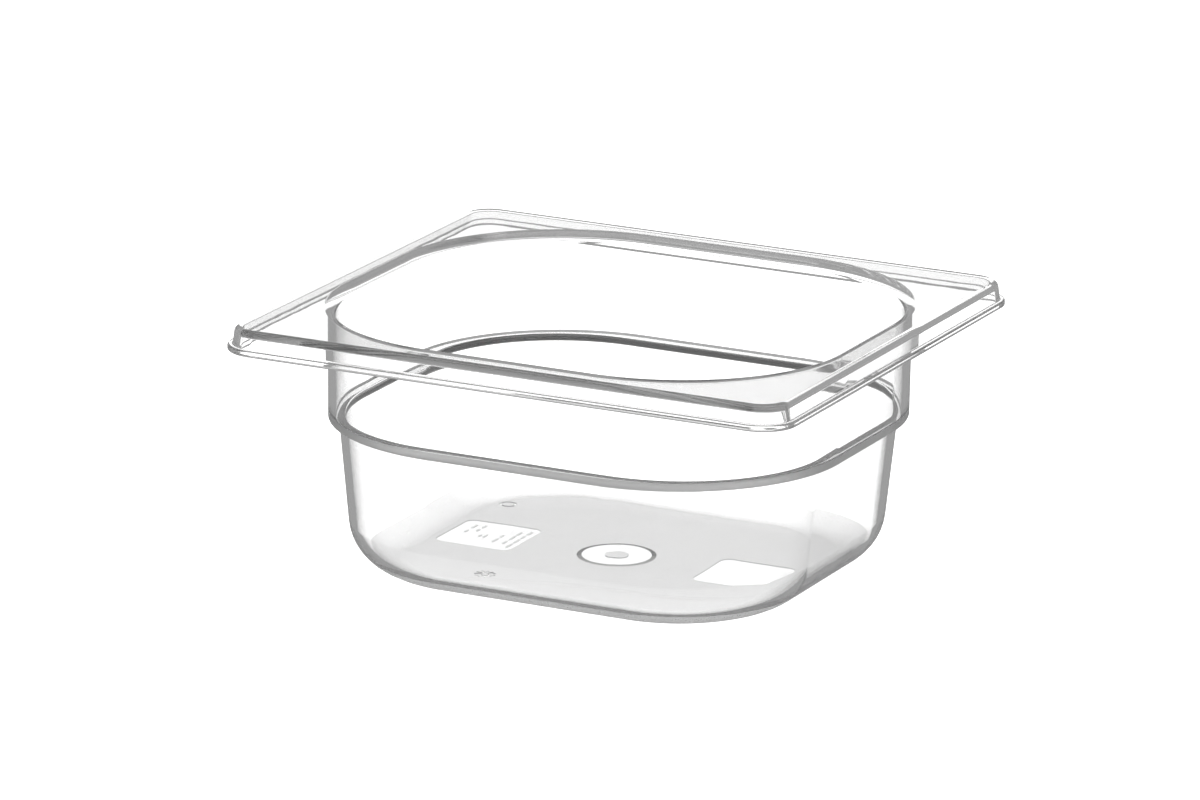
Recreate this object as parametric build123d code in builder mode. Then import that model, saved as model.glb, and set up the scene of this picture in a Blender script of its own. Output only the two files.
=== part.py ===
"""Clear deli food pan with a gastronorm 1/6 rim: one thin injection-moulded shell.

Millimetres, +Z up. The origin is the middle of the base, on the surface that the pan stands on.
X runs along the 176 mm side of the rim and Y along the 162 mm side.
"""

import os
from math import radians, tan

from build123d import *

# Rim: the footprint that every 1/6 opening and lid is made for
rim_length = 176.0
rim_width = 162.0
lip_corner_radius = 10.6
lip_thickness = 1.9
lip_edge_radius = 0.6
lip_drop = 7.1  # from the rim's flat top to the lip's underside

# Flange between the lip and the mouth: a flat top and a short flared skirt
skirt_foot_inset = 1.3
skirt_top_inset = 2.2
skirt_thickness = 2.3
flange_thickness = 2.4
flange_edge_radius = 1.9

# Body: an almost upright upper wall, a stacking shoulder and a tapered lower wall
pan_height = 76.8
body_overhang = 10.4  # from the lip's edge to the upper wall
upper_corner_radius = 51.8
upper_draft = 0.4
shoulder_drop = 32.6
shoulder_step = 4.1
shoulder_edge_radius = 0.4
lower_corner_radius = 44.8
lower_draft = 5.65
base_radius = 15.3
wall_thickness = 2.2
floor_thickness = 2.4
mouth_radius = 3.3
underflange_radius = 1.0
ledge_radius = 1.2

# Underside: a shallow round recess around the gate mark, and two flat windows
recess_diameter = 22.5
recess_depth = 0.4
gate_diameter = 6.1
gate_height = 0.25
window_length = 24.3
window_width = 23.8
window_corner_radius = 3.0
window_depth = 0.2
window_pitch = 82.0

# Levels above the base
lip_bottom = pan_height - lip_drop
flange_underside = pan_height - flange_thickness
shoulder_level = pan_height - shoulder_drop
ledge_level = shoulder_level + wall_thickness

# Outlines where the wall changes direction: the shoulder's outer edge, its inner edge, the base
upper_length = rim_length - 2 * body_overhang
upper_width = rim_width - 2 * body_overhang
lower_length = upper_length - 2 * shoulder_step
lower_width = upper_width - 2 * shoulder_step
base_shrink = shoulder_level * tan(radians(lower_draft))
floor_grow = floor_thickness * tan(radians(lower_draft))
floor_shrink = base_shrink - floor_grow + wall_thickness
floor_radius = base_radius - wall_thickness
clear_height = pan_height + 5.0 - ledge_level  # from the ledge to above the rim
level_margin = 0.05

# Cavity: what the shell is hollowed by, open well above the rim
with BuildPart() as cavity:
    with BuildSketch(Plane.XY.offset(floor_thickness)):
        RectangleRounded(
            lower_length - 2 * floor_shrink,
            lower_width - 2 * floor_shrink,
            lower_corner_radius - floor_shrink,
        )
    extrude(amount=ledge_level - floor_thickness, taper=-lower_draft)
    fillet(cavity.faces().sort_by(Axis.Z)[0].edges(), radius=floor_radius)
    with BuildSketch(Plane.XY.offset(ledge_level)):
        RectangleRounded(
            upper_length - 2 * wall_thickness,
            upper_width - 2 * wall_thickness,
            upper_corner_radius - wall_thickness,
        )
    extrude(amount=clear_height, taper=-upper_draft)
    ledge_face = cavity.faces().filter_by(Plane.XY).filter_by_position(
        Axis.Z, ledge_level - level_margin, ledge_level + level_margin
    )[0]
    fillet(ledge_face.inner_wires()[0].edges(), radius=ledge_radius)

with BuildPart() as pan:
    # Lip: the thin outward edge at the foot of the flange
    with BuildSketch(Plane.XY.offset(lip_bottom)):
        RectangleRounded(rim_length, rim_width, lip_corner_radius)
    extrude(amount=lip_thickness)
    fillet(pan.faces().filter_by(Plane.XY).edges(), radius=lip_edge_radius)

    # Skirt and flat top of the flange, tapering in from the lip
    with BuildSketch(Plane.XY.offset(lip_bottom + lip_edge_radius)):
        RectangleRounded(
            rim_length - 2 * skirt_foot_inset,
            rim_width - 2 * skirt_foot_inset,
            lip_corner_radius - skirt_foot_inset,
        )
    with BuildSketch(Plane.XY.offset(pan_height)):
        RectangleRounded(
            rim_length - 2 * skirt_top_inset,
            rim_width - 2 * skirt_top_inset,
            lip_corner_radius - skirt_top_inset,
        )
    loft(ruled=True)
    fillet(pan.faces().sort_by(Axis.Z)[-1].edges(), radius=flange_edge_radius)

    # Hollow underside of the flange, inside the skirt
    with BuildSketch(Plane.XY.offset(lip_bottom)):
        RectangleRounded(
            rim_length - 2 * (skirt_foot_inset + skirt_thickness),
            rim_width - 2 * (skirt_foot_inset + skirt_thickness),
            lip_corner_radius - skirt_foot_inset - skirt_thickness,
        )
    with BuildSketch(Plane.XY.offset(flange_underside)):
        RectangleRounded(
            rim_length - 2 * (skirt_top_inset + skirt_thickness),
            rim_width - 2 * (skirt_top_inset + skirt_thickness),
            lip_corner_radius - skirt_top_inset - skirt_thickness,
        )
    loft(ruled=True, mode=Mode.SUBTRACT)

    # Upper wall, down from the flange to the shoulder that rests on the pan below in a stack
    with BuildSketch(Plane.XY.offset(shoulder_level)):
        RectangleRounded(upper_length, upper_width, upper_corner_radius)
    extrude(amount=pan_height - shoulder_level, taper=-upper_draft)
    fillet(pan.faces().sort_by(Axis.Z)[0].edges(), radius=shoulder_edge_radius)
    underside_face = pan.faces().filter_by(Plane.XY).filter_by_position(
        Axis.Z, flange_underside - level_margin, flange_underside + level_margin
    )[0]
    fillet(underside_face.inner_wires()[0].edges(), radius=underflange_radius)

    # Lower wall, widening upwards from the rounded base so that empty pans nest
    with BuildSketch():
        RectangleRounded(
            lower_length - 2 * base_shrink,
            lower_width - 2 * base_shrink,
            lower_corner_radius - base_shrink,
        )
    extrude(amount=shoulder_level, taper=-lower_draft)
    fillet(pan.faces().sort_by(Axis.Z)[0].edges(), radius=base_radius)

    # Inside of the shell, with the mouth rolled over into the flange
    add(cavity.part, mode=Mode.SUBTRACT)
    fillet(pan.faces().sort_by(Axis.Z)[-1].inner_wires()[0].edges(), radius=mouth_radius)

    # Underside: round recess, gate mark standing in it, and the two windows
    with BuildSketch():
        Circle(recess_diameter / 2)
    extrude(amount=recess_depth, mode=Mode.SUBTRACT)
    with BuildSketch(Plane.XY.offset(recess_depth)):
        Circle(gate_diameter / 2)
    extrude(amount=-gate_height)
    with BuildSketch():
        with GridLocations(window_pitch, 0, 2, 1):
            RectangleRounded(window_length, window_width, window_corner_radius)
    extrude(amount=window_depth, mode=Mode.SUBTRACT)

pan.part.label = "pan"
os.makedirs("parts", exist_ok=True)
export_step(pan.part, "parts/pan.step")
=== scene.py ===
"""Looks of the clear deli food pan: one moulded shell in clear and frosted polycarbonate.

The section numbers are millimetres in the CAD frame. Everything in Blender is in metres.
"""

from math import atan2, ceil, cos, pi, radians, sin, tan

import bpy
from mathutils import Matrix, Vector
from mathutils.geometry import delaunay_2d_cdt


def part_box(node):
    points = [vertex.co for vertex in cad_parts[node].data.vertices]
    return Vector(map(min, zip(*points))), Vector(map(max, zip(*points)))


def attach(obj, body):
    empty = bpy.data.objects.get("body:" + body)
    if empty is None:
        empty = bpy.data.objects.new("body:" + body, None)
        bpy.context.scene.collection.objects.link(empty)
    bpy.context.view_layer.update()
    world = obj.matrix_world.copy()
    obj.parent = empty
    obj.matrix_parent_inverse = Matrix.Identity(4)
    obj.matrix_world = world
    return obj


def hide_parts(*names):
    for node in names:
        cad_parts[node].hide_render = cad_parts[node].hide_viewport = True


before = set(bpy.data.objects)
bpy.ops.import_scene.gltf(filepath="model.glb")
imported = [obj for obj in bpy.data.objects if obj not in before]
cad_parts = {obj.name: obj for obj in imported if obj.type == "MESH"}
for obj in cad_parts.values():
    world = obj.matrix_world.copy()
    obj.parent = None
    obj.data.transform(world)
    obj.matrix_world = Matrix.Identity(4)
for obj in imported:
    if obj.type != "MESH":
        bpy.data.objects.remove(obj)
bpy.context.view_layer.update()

MM = 0.001

# Overall size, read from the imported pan
_, pan_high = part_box("pan")
rim_half_x = pan_high[0] / MM
rim_half_y = pan_high[1] / MM
pan_height = pan_high[2] / MM

# Rim section
lip_corner_radius = 10.6
lip_thickness = 1.9
lip_edge_radius = 0.6
lip_drop = 7.1
skirt_foot_inset = 1.3
skirt_top_inset = 2.2
skirt_thickness = 2.3
flange_thickness = 2.4
flange_edge_radius = 1.9
lip_heel_radius = 0.3
skirt_root_radius = 0.4

# Body section
body_overhang = 10.4
upper_corner_radius = 51.8
upper_draft = tan(radians(0.4))
shoulder_drop = 32.6
shoulder_step = 4.1
shoulder_edge_radius = 0.4
band_height = 2.5
frosted_height = 4.7
lower_corner_radius = 44.8
lower_draft = tan(radians(5.65))
base_radius = 15.3
wall_thickness = 2.2
floor_thickness = 2.4
mouth_radius = 3.3
underflange_radius = 1.0
ledge_radius = 1.2
inside_corner_radius = 0.3

# Underside
recess_diameter = 22.5
recess_depth = 0.4
recess_slope = 1.4
gate_diameter = 6.1
gate_height = 0.25
window_length = 24.3
window_width = 23.8
window_corner_radius = 3.0
window_depth = 0.2
window_offset = 41.0

# Moulded marks on the underside, all plain shapes
mark_depth = 0.15
sunk_depth = 0.3
bar_width = 0.7
data_bars = (
    (-31.1, 6.9, 3.2),
    (-31.1, 2.6, 2.4),
    (-31.1, -1.6, 3.4),
    (-31.1, -6.5, 3.6),
    (-33.6, 5.1, 3.0),
    (-33.6, 0.8, 3.4),
    (-33.6, -4.1, 2.8),
    (-37.1, 1.0, 2.2),
    (-37.1, -3.4, 3.8),
    (-41.5, -1.2, 3.0),
    (-43.0, -1.6, 1.6),
    (-45.9, 7.1, 2.6),
    (-45.9, 3.0, 2.2),
    (-48.6, 5.9, 3.6),
    (-48.6, 0.8, 1.8),
)
ring_x = -50.1
ring_y = 30.8
ring_diameter = 5.2
dial_x = -22.5
dial_y = -39.5
dial_radius = 2.1
DIAL_RAYS = 11
ray_length = 2.2
ray_width = 0.6
ray_corner_radius = 0.2

# Levels above the base
lip_bottom = pan_height - lip_drop
lip_top = lip_bottom + lip_thickness
flange_underside = pan_height - flange_thickness
shoulder_level = pan_height - shoulder_drop
ledge_level = shoulder_level + wall_thickness

# Mesh fineness
CORNER_STEPS = 40
SIDE_STEPS = 10
ARC_STEP = radians(8.0)
RECESS_STEPS = 96
GATE_STEPS = 48
RING_STEPS = 40
MARK_CORNER_STEPS = 2
RECESS_SPACING = 2.0
BASE_SPACING = 4.0
FLOOR_SPACING = 6.0


class Outline:
    """A family of parallel rounded rectangles, given by the outermost one."""

    def __init__(self, half_x, half_y, radius):
        self.centre_x = half_x - radius
        self.centre_y = half_y - radius
        self.radius = radius

    def places(self, inset):
        """Points and outward directions of the rectangle that lies inset inside the outermost."""
        reach = self.radius - inset
        found = []
        for quarter, (side_x, side_y) in enumerate(((1, 1), (-1, 1), (-1, -1), (1, -1))):
            middle = Vector((side_x * self.centre_x, side_y * self.centre_y))
            for step in range(CORNER_STEPS + 1):
                angle = (quarter + step / CORNER_STEPS) * pi / 2
                out = Vector((cos(angle), sin(angle)))
                found.append((middle + out * reach, out))
            if quarter % 2 == 0:
                run = Vector((-2 * side_x * self.centre_x, 0))
            else:
                run = Vector((0, -2 * side_y * self.centre_y))
            last, out = found[-1]
            for step in range(1, SIDE_STEPS):
                found.append((last + run * (step / SIDE_STEPS), out))
        return found


rim = Outline(rim_half_x, rim_half_y, lip_corner_radius)
upper = Outline(rim_half_x - body_overhang, rim_half_y - body_overhang, upper_corner_radius)
lower = Outline(
    rim_half_x - body_overhang - shoulder_step,
    rim_half_y - body_overhang - shoulder_step,
    lower_corner_radius,
)


def rounded_section(corners):
    """Points (inset, level, outward normal) along a section whose inner corners are rounded.

    Each corner is (inset, level, radius). The section runs with the solid on its left.
    """
    points = [Vector((-inset, level)) for inset, level, _ in corners]
    steps = []
    for index in range(1, len(points) - 1):
        before = (points[index] - points[index - 1]).normalized()
        after = (points[index + 1] - points[index]).normalized()
        turn = atan2(before.x * after.y - before.y * after.x, before.dot(after))
        radius = corners[index][2]
        if radius == 0:
            steps.append((points[index], Vector((before.y, -before.x))))
            continue
        start = points[index] - before * radius * tan(abs(turn) / 2)
        side = 1 if turn > 0 else -1
        left = Vector((-before.y, before.x)) * side
        middle = start + left * radius
        count = max(2, ceil(abs(turn) / ARC_STEP))
        for step in range(count + 1):
            angle = turn * step / count
            spoke = Matrix.Rotation(angle, 2) @ (-left)
            steps.append((middle + spoke * radius, spoke * side))
    return [(-place.x, place.y, normal) for place, normal in steps]


class Shell:
    """Vertices, faces, corner normals and finishes of the one closed mesh."""

    def __init__(self):
        self.vertices = []
        self.normals = []
        self.faces = []
        self.face_normals = []
        self.finishes = []

    def point(self, x, y, z, normal):
        self.vertices.append(Vector((x, y, z)) * MM)
        self.normals.append(normal)
        return len(self.vertices) - 1

    def ring(self, outline, inset, level, normal):
        return [
            self.point(place.x, place.y, level, Vector((out.x * normal.x, out.y * normal.x, normal.y)))
            for place, out in outline.places(inset)
        ]

    def face(self, corners, finish, normals=None):
        self.faces.append(corners)
        self.face_normals.append(normals or [self.normals[corner] for corner in corners])
        self.finishes.append(finish)

    def bridge(self, first, second, finish, normals=None):
        """Quads between two loops of as many points, walking out from the first."""
        count = len(first)
        for index in range(count):
            after = (index + 1) % count
            corners = [first[index], first[after], second[after], second[index]]
            given = None
            if normals:
                given = [normals[index], normals[after], normals[after], normals[index]]
            self.face(corners, finish, given)

    def plate(self, outline, holes, level, facing, finish, spacing=0.0):
        """Flat triangles inside a loop, round its holes, facing +1 up or -1 down."""
        loops = [outline, *holes]
        indices = [index for loop in loops for index in loop]
        flat = [self.vertices[index].to_2d() / MM for index in indices]
        edges = []
        start = 0
        for loop in loops:
            count = len(loop)
            edges += [(start + step, start + (step + 1) % count) for step in range(count)]
            start += count
        bounds = [loop_points(self, loop) for loop in loops]
        extra = []
        if spacing:
            extra = grid_points(bounds, spacing)
            flat += extra
        up = Vector((0, 0, facing))
        indices += [self.point(place.x, place.y, level, up) for place in extra]
        places, _, triangles, origins, _, _ = delaunay_2d_cdt(flat, edges, [], 0, 1e-5)
        for triangle in triangles:
            middle = sum((places[corner] for corner in triangle), Vector((0, 0))) / 3
            if not inside(middle, bounds[0]) or any(inside(middle, hole) for hole in bounds[1:]):
                continue
            corners = [indices[origins[corner][0]] for corner in triangle]
            self.face(corners if facing > 0 else corners[::-1], finish, [up] * 3)

    def loop(self, places, level, facing):
        up = Vector((0, 0, facing))
        return [self.point(x, y, level, up) for x, y in places]

    def step(self, places, low, high, finish, boss):
        """A small upright wall round a recess or a boss on the underside. Returns both loops."""
        bottom = self.loop(places, low, -1)
        top = self.loop(places, high, -1)
        normals = []
        count = len(places)
        for index in range(count):
            before, after = places[index - 1], places[(index + 1) % count]
            run = Vector((after[0] - before[0], after[1] - before[1])).normalized()
            out = Vector((run.y, -run.x, 0))
            normals.append(out if boss else -out)
        if boss:
            self.bridge(bottom, top, finish, normals)
        else:
            self.bridge(top, bottom, finish, normals)
        return bottom, top


def loop_points(shell, loop):
    return [shell.vertices[index].to_2d() / MM for index in loop]


def inside(place, polygon):
    """True if the place is inside the polygon."""
    crossings = False
    for index in range(len(polygon)):
        a, b = polygon[index - 1], polygon[index]
        if (a.y > place.y) != (b.y > place.y):
            if place.x < a.x + (place.y - a.y) / (b.y - a.y) * (b.x - a.x):
                crossings = not crossings
    return crossings


def clearance(place, polygon):
    return min((place - corner).length for corner in polygon)


def grid_points(bounds, spacing):
    """An even grid inside the first loop and clear of every loop."""
    reach_x = max(corner.x for corner in bounds[0])
    reach_y = max(corner.y for corner in bounds[0])
    found = []
    for column in range(-int(reach_x / spacing), int(reach_x / spacing) + 1):
        for row in range(-int(reach_y / spacing), int(reach_y / spacing) + 1):
            place = Vector((column * spacing, row * spacing))
            if not inside(place, bounds[0]) or any(inside(place, hole) for hole in bounds[1:]):
                continue
            if all(clearance(place, loop) > 0.6 * spacing for loop in bounds):
                found.append(place)
    return found


def circle(x, y, diameter, count):
    return [
        (x + diameter / 2 * cos(2 * pi * step / count), y + diameter / 2 * sin(2 * pi * step / count))
        for step in range(count)
    ]


def rounded_rectangle(x, y, length, width, radius, turn=0.0, steps=6):
    found = []
    for quarter, (side_x, side_y) in enumerate(((1, 1), (-1, 1), (-1, -1), (1, -1))):
        for step in range(steps + 1):
            angle = (quarter + step / steps) * pi / 2
            along = side_x * (length / 2 - radius) + radius * cos(angle)
            across = side_y * (width / 2 - radius) + radius * sin(angle)
            found.append(
                (
                    x + along * cos(turn) - across * sin(turn),
                    y + along * sin(turn) + across * cos(turn),
                )
            )
    return found


# The section, from the flat underside out and over the rim to the flat floor
base_shrink = shoulder_level * lower_draft
upper_grow = (flange_underside - shoulder_level) * upper_draft
mouth_grow = (pan_height - ledge_level) * upper_draft
floor_shrink = base_shrink - floor_thickness * lower_draft + wall_thickness
ledge_shrink = floor_shrink - (ledge_level - floor_thickness) * lower_draft
skirt_slope = (skirt_top_inset - skirt_foot_inset) / (lip_drop - lip_edge_radius)
lip_root_inset = skirt_foot_inset + (lip_thickness - lip_edge_radius) * skirt_slope
skirt_inner_foot = skirt_foot_inset + skirt_thickness
skirt_inner_top = skirt_top_inset + skirt_thickness

outer_lower = rounded_section(
    [
        (base_shrink + 25, 0, 0),
        (base_shrink, 0, base_radius),
        (0, shoulder_level, inside_corner_radius),
        (-1, shoulder_level, 0),
    ]
)
outer_upper = rounded_section(
    [
        (1.5, shoulder_level, 0),
        (0, shoulder_level, shoulder_edge_radius),
        (-band_height * upper_draft, shoulder_level + band_height, 0),
        (-upper_grow, flange_underside, underflange_radius),
        (-upper_grow - 2, flange_underside, 0),
    ]
)
outer_rim = rounded_section(
    [
        (skirt_inner_top + 1, flange_underside, 0),
        (skirt_inner_top, flange_underside, skirt_root_radius),
        (skirt_inner_foot, lip_bottom, lip_heel_radius),
        (0, lip_bottom, lip_edge_radius),
        (0, lip_top, lip_edge_radius),
        (lip_root_inset, lip_top, lip_heel_radius),
        (skirt_top_inset, pan_height, flange_edge_radius),
        (skirt_top_inset + 4, pan_height, 0),
    ]
)
inner_upper = rounded_section(
    [
        (-mouth_radius - 2, pan_height, 0),
        (wall_thickness - mouth_grow, pan_height, mouth_radius),
        (wall_thickness, ledge_level, inside_corner_radius),
        (wall_thickness + 1, ledge_level, 0),
    ]
)
inner_lower = rounded_section(
    [
        (ledge_shrink - 2, ledge_level, 0),
        (ledge_shrink, ledge_level, ledge_radius),
        (floor_shrink, floor_thickness, base_radius - wall_thickness),
        (floor_shrink + 25, floor_thickness, 0),
    ]
)

CLEAR, FROSTED, POLISHED, BAND_PAINTED_SHADE, FROSTED_EDGE = range(5)

shell = Shell()
rings = []
levels = []
outside = []
for outline, section in (
    (lower, outer_lower),
    (upper, outer_upper),
    (rim, outer_rim),
    (upper, inner_upper),
    (lower, inner_lower),
):
    for inset, level, normal in section:
        rings.append(shell.ring(outline, inset, level, normal))
        levels.append(level)
        outside.append(section is outer_lower or section is outer_upper)
for index in range(len(rings) - 1):
    middle = (levels[index] + levels[index + 1]) / 2
    finish = CLEAR
    if outside[index] and outside[index + 1]:
        if middle < frosted_height:
            finish = FROSTED_EDGE
        # The band at the foot of the upper wall takes the band finish, whose grey is painted shade
        elif shoulder_level < middle < shoulder_level + band_height:
            finish = BAND_PAINTED_SHADE
    shell.bridge(rings[index], rings[index + 1], finish)

# Underside: frosted, with the recess round the gate and the two polished windows
recess_bottom = shell.loop(circle(0, 0, recess_diameter, RECESS_STEPS), 0, -1)
recess_top = shell.loop(
    circle(0, 0, recess_diameter - 2 * recess_slope, RECESS_STEPS), recess_depth, -1
)
slope_normals = [
    Vector((-x * recess_depth, -y * recess_depth, -recess_slope)).normalized()
    for x, y in circle(0, 0, 2, RECESS_STEPS)
]
# The recess slope takes the band finish too, with its painted grey shade
shell.bridge(recess_top, recess_bottom, BAND_PAINTED_SHADE, slope_normals)
gate_places = circle(0, 0, gate_diameter, GATE_STEPS)
gate_bottom, gate_top = shell.step(
    gate_places, recess_depth - gate_height, recess_depth, CLEAR, boss=True
)
shell.plate(recess_top, [gate_top], recess_depth, -1, POLISHED, RECESS_SPACING)
shell.plate(gate_bottom, [], recess_depth - gate_height, -1, FROSTED)
openings = [recess_bottom]
for side in (-1, 1):
    places = rounded_rectangle(
        side * window_offset, 0, window_length, window_width, window_corner_radius
    )
    bottom, top = shell.step(places, 0, window_depth, CLEAR, boss=False)
    openings.append(bottom)
    bars = []
    if side < 0:
        # Raised bars where the moulded data would be
        for x, y, length in data_bars:
            places = rounded_rectangle(
                x, y, bar_width, length, bar_width / 3, steps=MARK_CORNER_STEPS
            )
            bar_bottom, bar_top = shell.step(
                places, window_depth - mark_depth, window_depth, CLEAR, boss=True
            )
            shell.plate(bar_bottom, [], window_depth - mark_depth, -1, FROSTED)
            bars.append(bar_top)
    shell.plate(top, bars, window_depth, -1, POLISHED)

# A plain ring and a dial of short rays, sunk in the frosted base
ring_places = circle(ring_x, ring_y, ring_diameter, RING_STEPS)
ring_bottom, ring_top = shell.step(ring_places, 0, sunk_depth, CLEAR, boss=False)
island_places = circle(ring_x, ring_y, ring_diameter - 2 * bar_width, RING_STEPS)
island_bottom, island_top = shell.step(island_places, 0, sunk_depth, CLEAR, boss=True)
shell.plate(ring_top, [island_top], sunk_depth, -1, POLISHED)
shell.plate(island_bottom, [], 0, -1, FROSTED)
openings.append(ring_bottom)
for ray in range(DIAL_RAYS):
    turn = 2 * pi * ray / DIAL_RAYS
    places = rounded_rectangle(
        dial_x + dial_radius * cos(turn),
        dial_y + dial_radius * sin(turn),
        ray_length,
        ray_width,
        ray_corner_radius,
        turn,
        MARK_CORNER_STEPS,
    )
    bottom, top = shell.step(places, 0, sunk_depth, CLEAR, boss=False)
    shell.plate(top, [], sunk_depth, -1, POLISHED)
    openings.append(bottom)
shell.plate(rings[0], openings, 0, -1, FROSTED, BASE_SPACING)
shell.plate(rings[-1], [], floor_thickness, 1, CLEAR, FLOOR_SPACING)


POLYCARBONATE_IOR = 1.585


def new_material(name):
    material = bpy.data.materials.new(name)
    material.use_nodes = True
    material.node_tree.nodes.clear()
    return material, material.node_tree.nodes, material.node_tree.links


def relief(nodes, links, shader, scale, detail, height):
    """Fine uneven relief on a surface. Returns the noise that makes it."""
    coordinates = nodes.new("ShaderNodeTexCoord")
    noise = nodes.new("ShaderNodeTexNoise")
    noise.inputs["Scale"].default_value = scale
    noise.inputs["Detail"].default_value = detail
    bump = nodes.new("ShaderNodeBump")
    bump.inputs["Distance"].default_value = height
    links.new(coordinates.outputs["Object"], noise.inputs["Vector"])
    links.new(noise.outputs["Fac"], bump.inputs["Height"])
    links.new(bump.outputs["Normal"], shader.inputs["Normal"])
    return noise


def clear_material(name, roughness):
    """Clear polycarbonate, with the slight unevenness of a moulded surface."""
    material, nodes, links = new_material(name)
    output = nodes.new("ShaderNodeOutputMaterial")
    shader = nodes.new("ShaderNodeBsdfPrincipled")
    shader.inputs["Base Color"].default_value = (1, 1, 1, 1)
    shader.inputs["Roughness"].default_value = roughness
    shader.inputs["IOR"].default_value = POLYCARBONATE_IOR
    shader.inputs["Transmission Weight"].default_value = 1
    relief(nodes, links, shader, 70, 1.0, 0.00004)
    links.new(shader.outputs["BSDF"], output.inputs["Surface"])
    return material


def band_painted_shade_material(name):
    """The finely stippled band along the foot of the upper wall: rough for the real stipple, with a
    grey base colour that is painted shade.
    """
    material, nodes, links = new_material(name)
    output = nodes.new("ShaderNodeOutputMaterial")
    shader = nodes.new("ShaderNodeBsdfPrincipled")
    # Painted shade: a grey base colour darkens the clear band to the grey it shows in the studio light
    shader.inputs["Base Color"].default_value = (0.38, 0.38, 0.38, 1)
    shader.inputs["Roughness"].default_value = 0.55
    shader.inputs["IOR"].default_value = POLYCARBONATE_IOR
    shader.inputs["Transmission Weight"].default_value = 0.45
    links.new(shader.outputs["BSDF"], output.inputs["Surface"])
    return material


def frosted_material(name, tone, smoothest, roughest, clearness):
    """The fine spark-eroded grain of the underside."""
    material, nodes, links = new_material(name)
    output = nodes.new("ShaderNodeOutputMaterial")
    shader = nodes.new("ShaderNodeBsdfPrincipled")
    shader.inputs["Base Color"].default_value = (tone, tone, tone, 1)
    shader.inputs["IOR"].default_value = POLYCARBONATE_IOR
    shader.inputs["Transmission Weight"].default_value = clearness
    grain = relief(nodes, links, shader, 1800, 3.0, 0.00002)
    spread = nodes.new("ShaderNodeMapRange")
    spread.inputs["To Min"].default_value = smoothest
    spread.inputs["To Max"].default_value = roughest
    links.new(grain.outputs["Fac"], spread.inputs["Value"])
    links.new(spread.outputs["Result"], shader.inputs["Roughness"])
    links.new(shader.outputs["BSDF"], output.inputs["Surface"])
    return material


mesh = bpy.data.meshes.new("food_pan_shell")
mesh.from_pydata(shell.vertices, [], shell.faces)
for material in (
    clear_material("clear_polycarbonate", 0.02),
    frosted_material("frosted_polycarbonate", 0.95, 0.34, 0.66, 1.0),
    clear_material("polished_polycarbonate", 0.02),
    # The band finish carries a painted grey shade on its real stipple
    band_painted_shade_material("band_polycarbonate_painted_shade"),
    frosted_material("frosted_edge_polycarbonate", 1.0, 0.2, 0.4, 0.82),
):
    mesh.materials.append(material)
mesh.polygons.foreach_set("material_index", shell.finishes)
mesh.polygons.foreach_set("use_smooth", [True] * len(shell.faces))
mesh.normals_split_custom_set([normal for face in shell.face_normals for normal in face])
pan = bpy.data.objects.new("food_pan_shell", mesh)
bpy.context.scene.collection.objects.link(pan)
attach(pan, "root")
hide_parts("pan")

# Stage: a plain pale floor that glows, less so for light reflected inside the plastic, and
# studio light all round it
floor_size = 6.0
floor_level = -0.0002
floor_brightness = 1.65
floor_fall = 0.2
floor_least = 0.34
floor_mesh = bpy.data.meshes.new("floor")
half = floor_size / 2
floor_mesh.from_pydata(
    [
        (-half, -half, floor_level),
        (half, -half, floor_level),
        (half, half, floor_level),
        (-half, half, floor_level),
    ],
    [],
    [(0, 1, 2, 3)],
)
floor = bpy.data.objects.new("floor", floor_mesh)
bpy.context.scene.collection.objects.link(floor)
floor_material, nodes, links = new_material("floor_white")
floor_output = nodes.new("ShaderNodeOutputMaterial")
floor_glow = nodes.new("ShaderNodeEmission")
floor_glow.inputs["Color"].default_value = (1, 1, 1, 1)
paths = nodes.new("ShaderNodeLightPath")
fall = nodes.new("ShaderNodeMath")
fall.operation = "POWER"
fall.inputs[0].default_value = floor_fall
glow = nodes.new("ShaderNodeMath")
glow.operation = "MULTIPLY"
glow.inputs[1].default_value = floor_brightness
links.new(paths.outputs["Glossy Depth"], fall.inputs[1])
links.new(fall.outputs["Value"], glow.inputs[0])
least = nodes.new("ShaderNodeMath")
least.operation = "MAXIMUM"
least.inputs[1].default_value = floor_least
links.new(glow.outputs["Value"], least.inputs[0])
links.new(least.outputs["Value"], floor_glow.inputs["Strength"])
links.new(floor_glow.outputs["Emission"], floor_output.inputs["Surface"])
floor_material.cycles.emission_sampling = "NONE"
floor_mesh.materials.append(floor_material)

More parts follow.
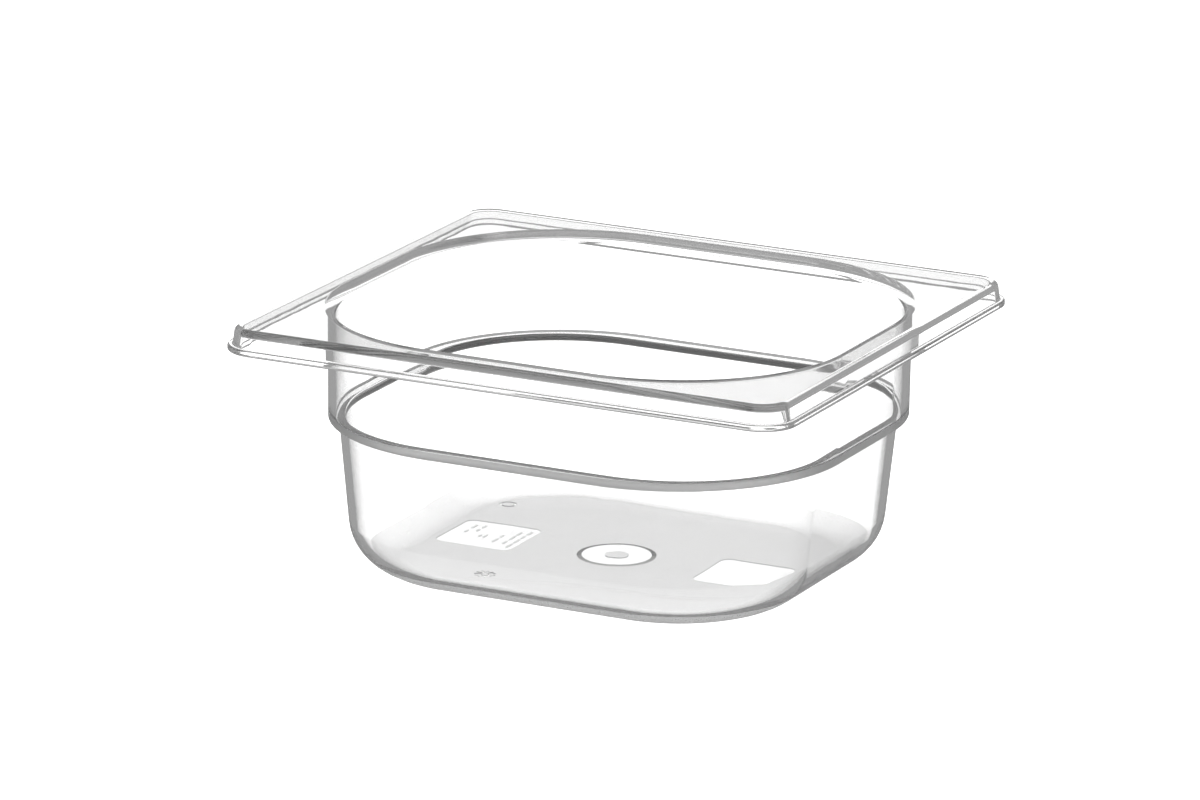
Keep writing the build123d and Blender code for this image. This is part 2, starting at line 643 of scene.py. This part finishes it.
world = bpy.data.worlds.new("studio")
world.use_nodes = True
bpy.context.scene.world = world
nodes, links = world.node_tree.nodes, world.node_tree.links
nodes.clear()
world_output = nodes.new("ShaderNodeOutputWorld")
background = nodes.new("ShaderNodeBackground")
coordinates = nodes.new("ShaderNodeTexCoord")
split = nodes.new("ShaderNodeSeparateXYZ")
ramp = nodes.new("ShaderNodeValToRGB")
links.new(coordinates.outputs["Generated"], split.inputs["Vector"])
links.new(split.outputs["Z"], ramp.inputs["Fac"])
links.new(ramp.outputs["Color"], background.inputs["Color"])
links.new(background.outputs["Background"], world_output.inputs["Surface"])
background.inputs["Strength"].default_value = 1.2
world.cycles.sampling_method = "NONE"
ramp.color_ramp.elements[0].position = 0.0
ramp.color_ramp.elements[0].color = (1, 1, 1, 1)
ramp.color_ramp.elements[1].position = 1.0
ramp.color_ramp.elements[1].color = (1, 1, 1, 1)
for position, level in (
    (0.004, 1.0),
    (0.01, 0.28),
    (0.3, 0.28),
    (0.45, 0.3),
    (0.86, 0.3),
    (0.9, 1.0),
):
    stop = ramp.color_ramp.elements.new(position)
    stop.color = (level, level, level, 1)

bpy.context.scene.view_settings.view_transform = "Standard"
BOUNCES = 128
bpy.context.scene.cycles.max_bounces = BOUNCES
bpy.context.scene.cycles.transmission_bounces = BOUNCES
bpy.context.scene.cycles.glossy_bounces = BOUNCES

# Camera
camera_azimuth = radians(25.880)
camera_elevation = radians(15.880)
camera_roll = radians(0.795)
camera_distance = 2.4621
camera_aim = Vector((-0.0061, -0.00022, 0.04704))
camera_data = bpy.data.cameras.new("camera")
camera_data.lens = 257.783
camera_data.sensor_width = 36.0
camera_data.clip_start = 0.1
camera_data.clip_end = 50.0
camera = bpy.data.objects.new("camera", camera_data)
bpy.context.scene.collection.objects.link(camera)
back = Vector(
    (
        sin(camera_azimuth) * cos(camera_elevation),
        -cos(camera_azimuth) * cos(camera_elevation),
        sin(camera_elevation),
    )
)
camera.location = camera_aim + back * camera_distance
camera.rotation_mode = "QUATERNION"
level_turn = (-back).to_track_quat("-Z", "Y")
camera.rotation_quaternion = level_turn @ Matrix.Rotation(camera_roll, 3, "Z").to_quaternion()
bpy.context.scene.camera = camera
